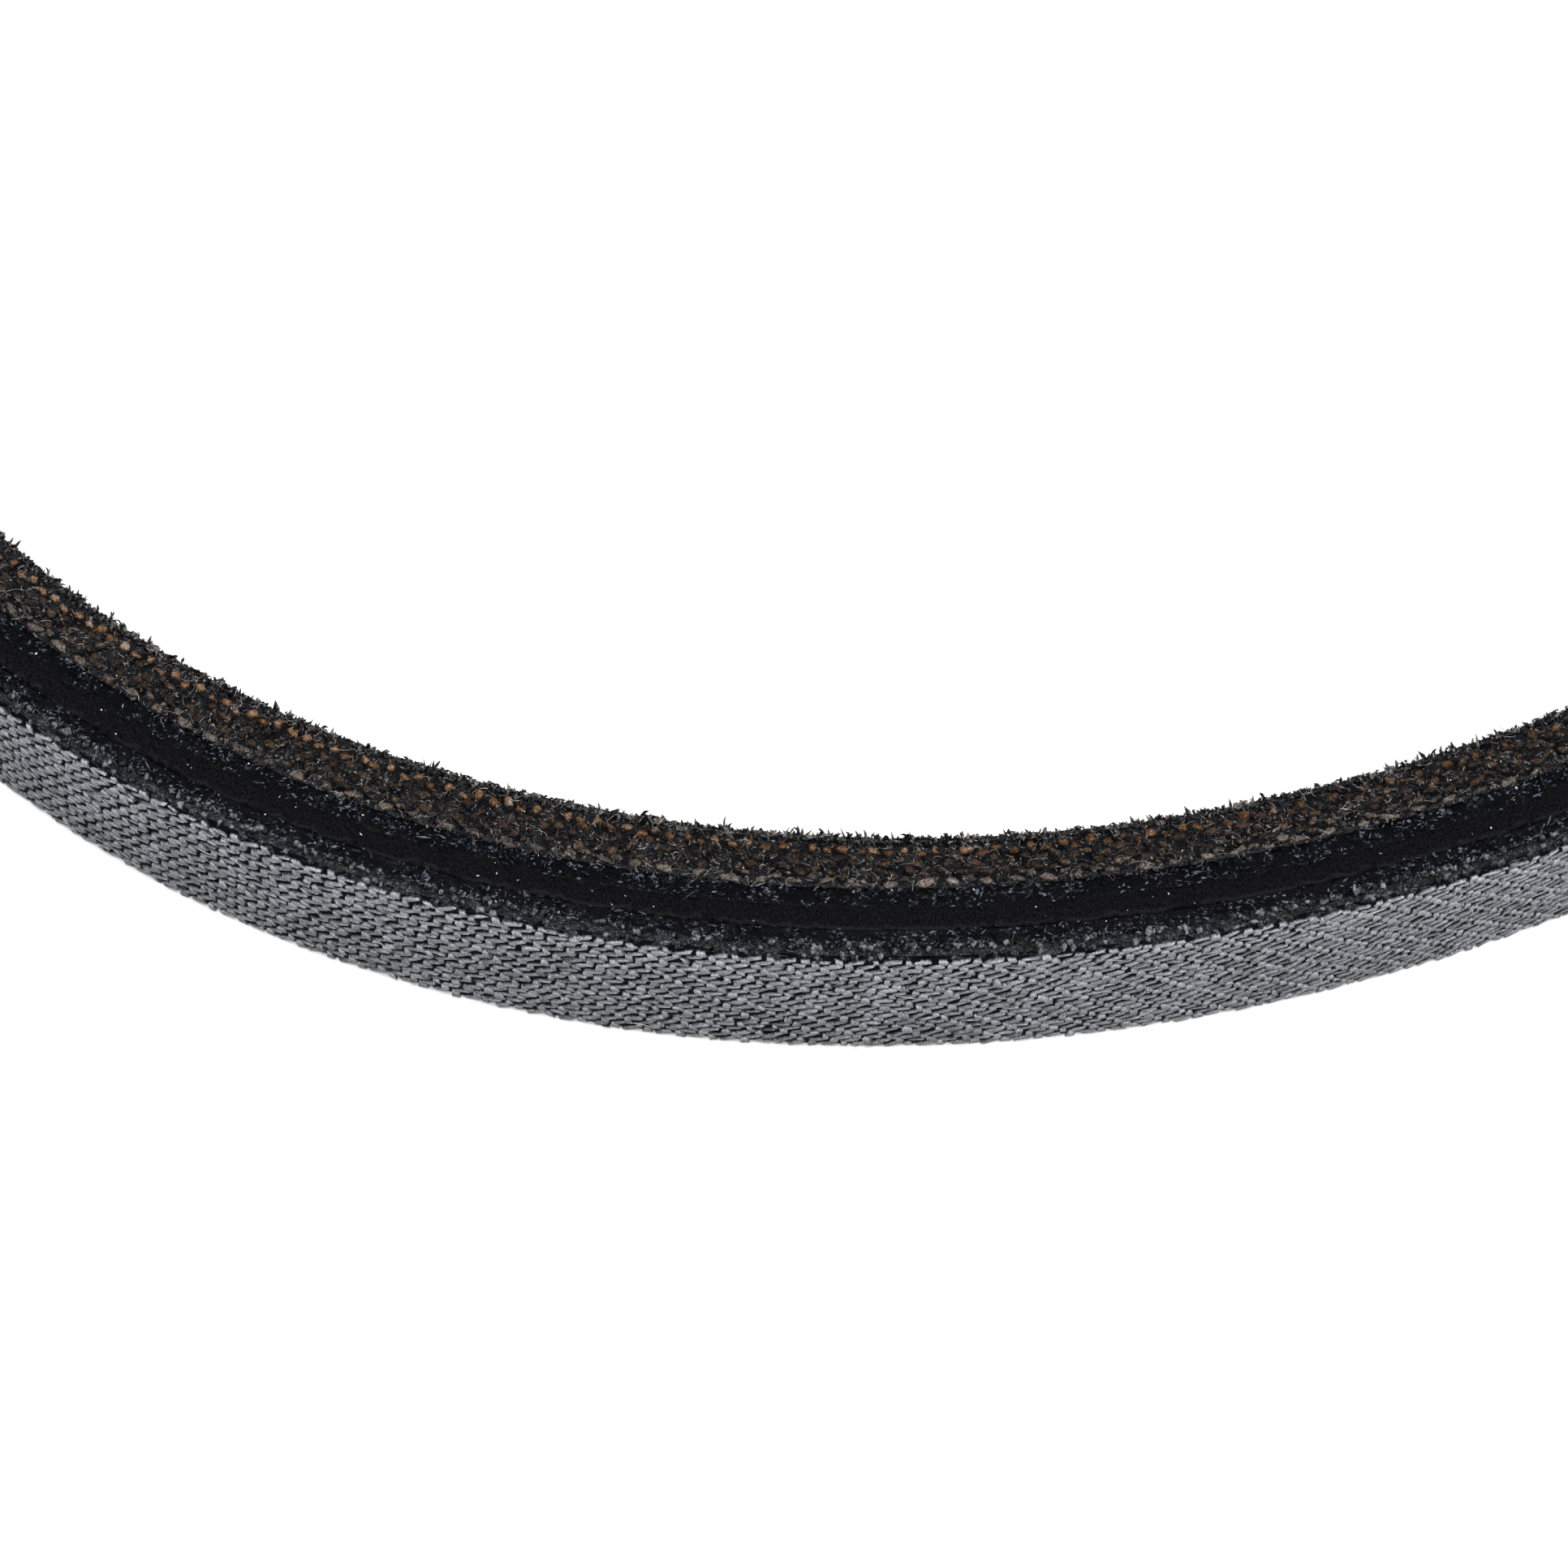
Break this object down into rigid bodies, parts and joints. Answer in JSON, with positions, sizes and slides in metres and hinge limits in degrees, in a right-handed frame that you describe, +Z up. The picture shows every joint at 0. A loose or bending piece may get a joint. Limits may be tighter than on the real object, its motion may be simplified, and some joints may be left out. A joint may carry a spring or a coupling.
{
  "type": "v belt",
  "caption": "Raw-edge laminated V-belt, an endless loop of classical 4L section with a woven fabric back, lying on its side as an open oval.",
  "frame": {"origin": "middle of the oval loop, on the surface that the belt lies on, under its box's centre", "axes": "+X along the loop's longer axis, +Y along its shorter axis, +Z up, across the belt's width"},
  "size_m": [0.1892, 0.1488, 0.0127],
  "materials": {
    "back_canvas": "matte",
    "back_edge_canvas": "matte",
    "cushion_gum": "matte",
    "cord": "satin",
    "adhesion_gum": "matte",
    "skim_gum": "matte",
    "laminate_canvas": "matte",
    "laminate_inner_canvas": "matte",
    "inner_canvas": "matte"
  },
  "bodies": {
    "root": {"back_cover_ply": "back_canvas", "back_skim_gum": "skim_gum", "back_inner_ply": "back_edge_canvas", "cushion_gum": "cushion_gum", "tensile_cord": "cord", "adhesion_gum": "adhesion_gum", "laminate_ply_1": "laminate_canvas", "skim_gum_1": "skim_gum", "laminate_ply_2": "laminate_canvas", "skim_gum_2": "skim_gum", "laminate_ply_3": "laminate_canvas", "skim_gum_3": "skim_gum", "laminate_ply_4": "laminate_inner_canvas", "skim_gum_4": "skim_gum", "inner_cover_ply": "inner_canvas"}
  },
  "joints": []
}
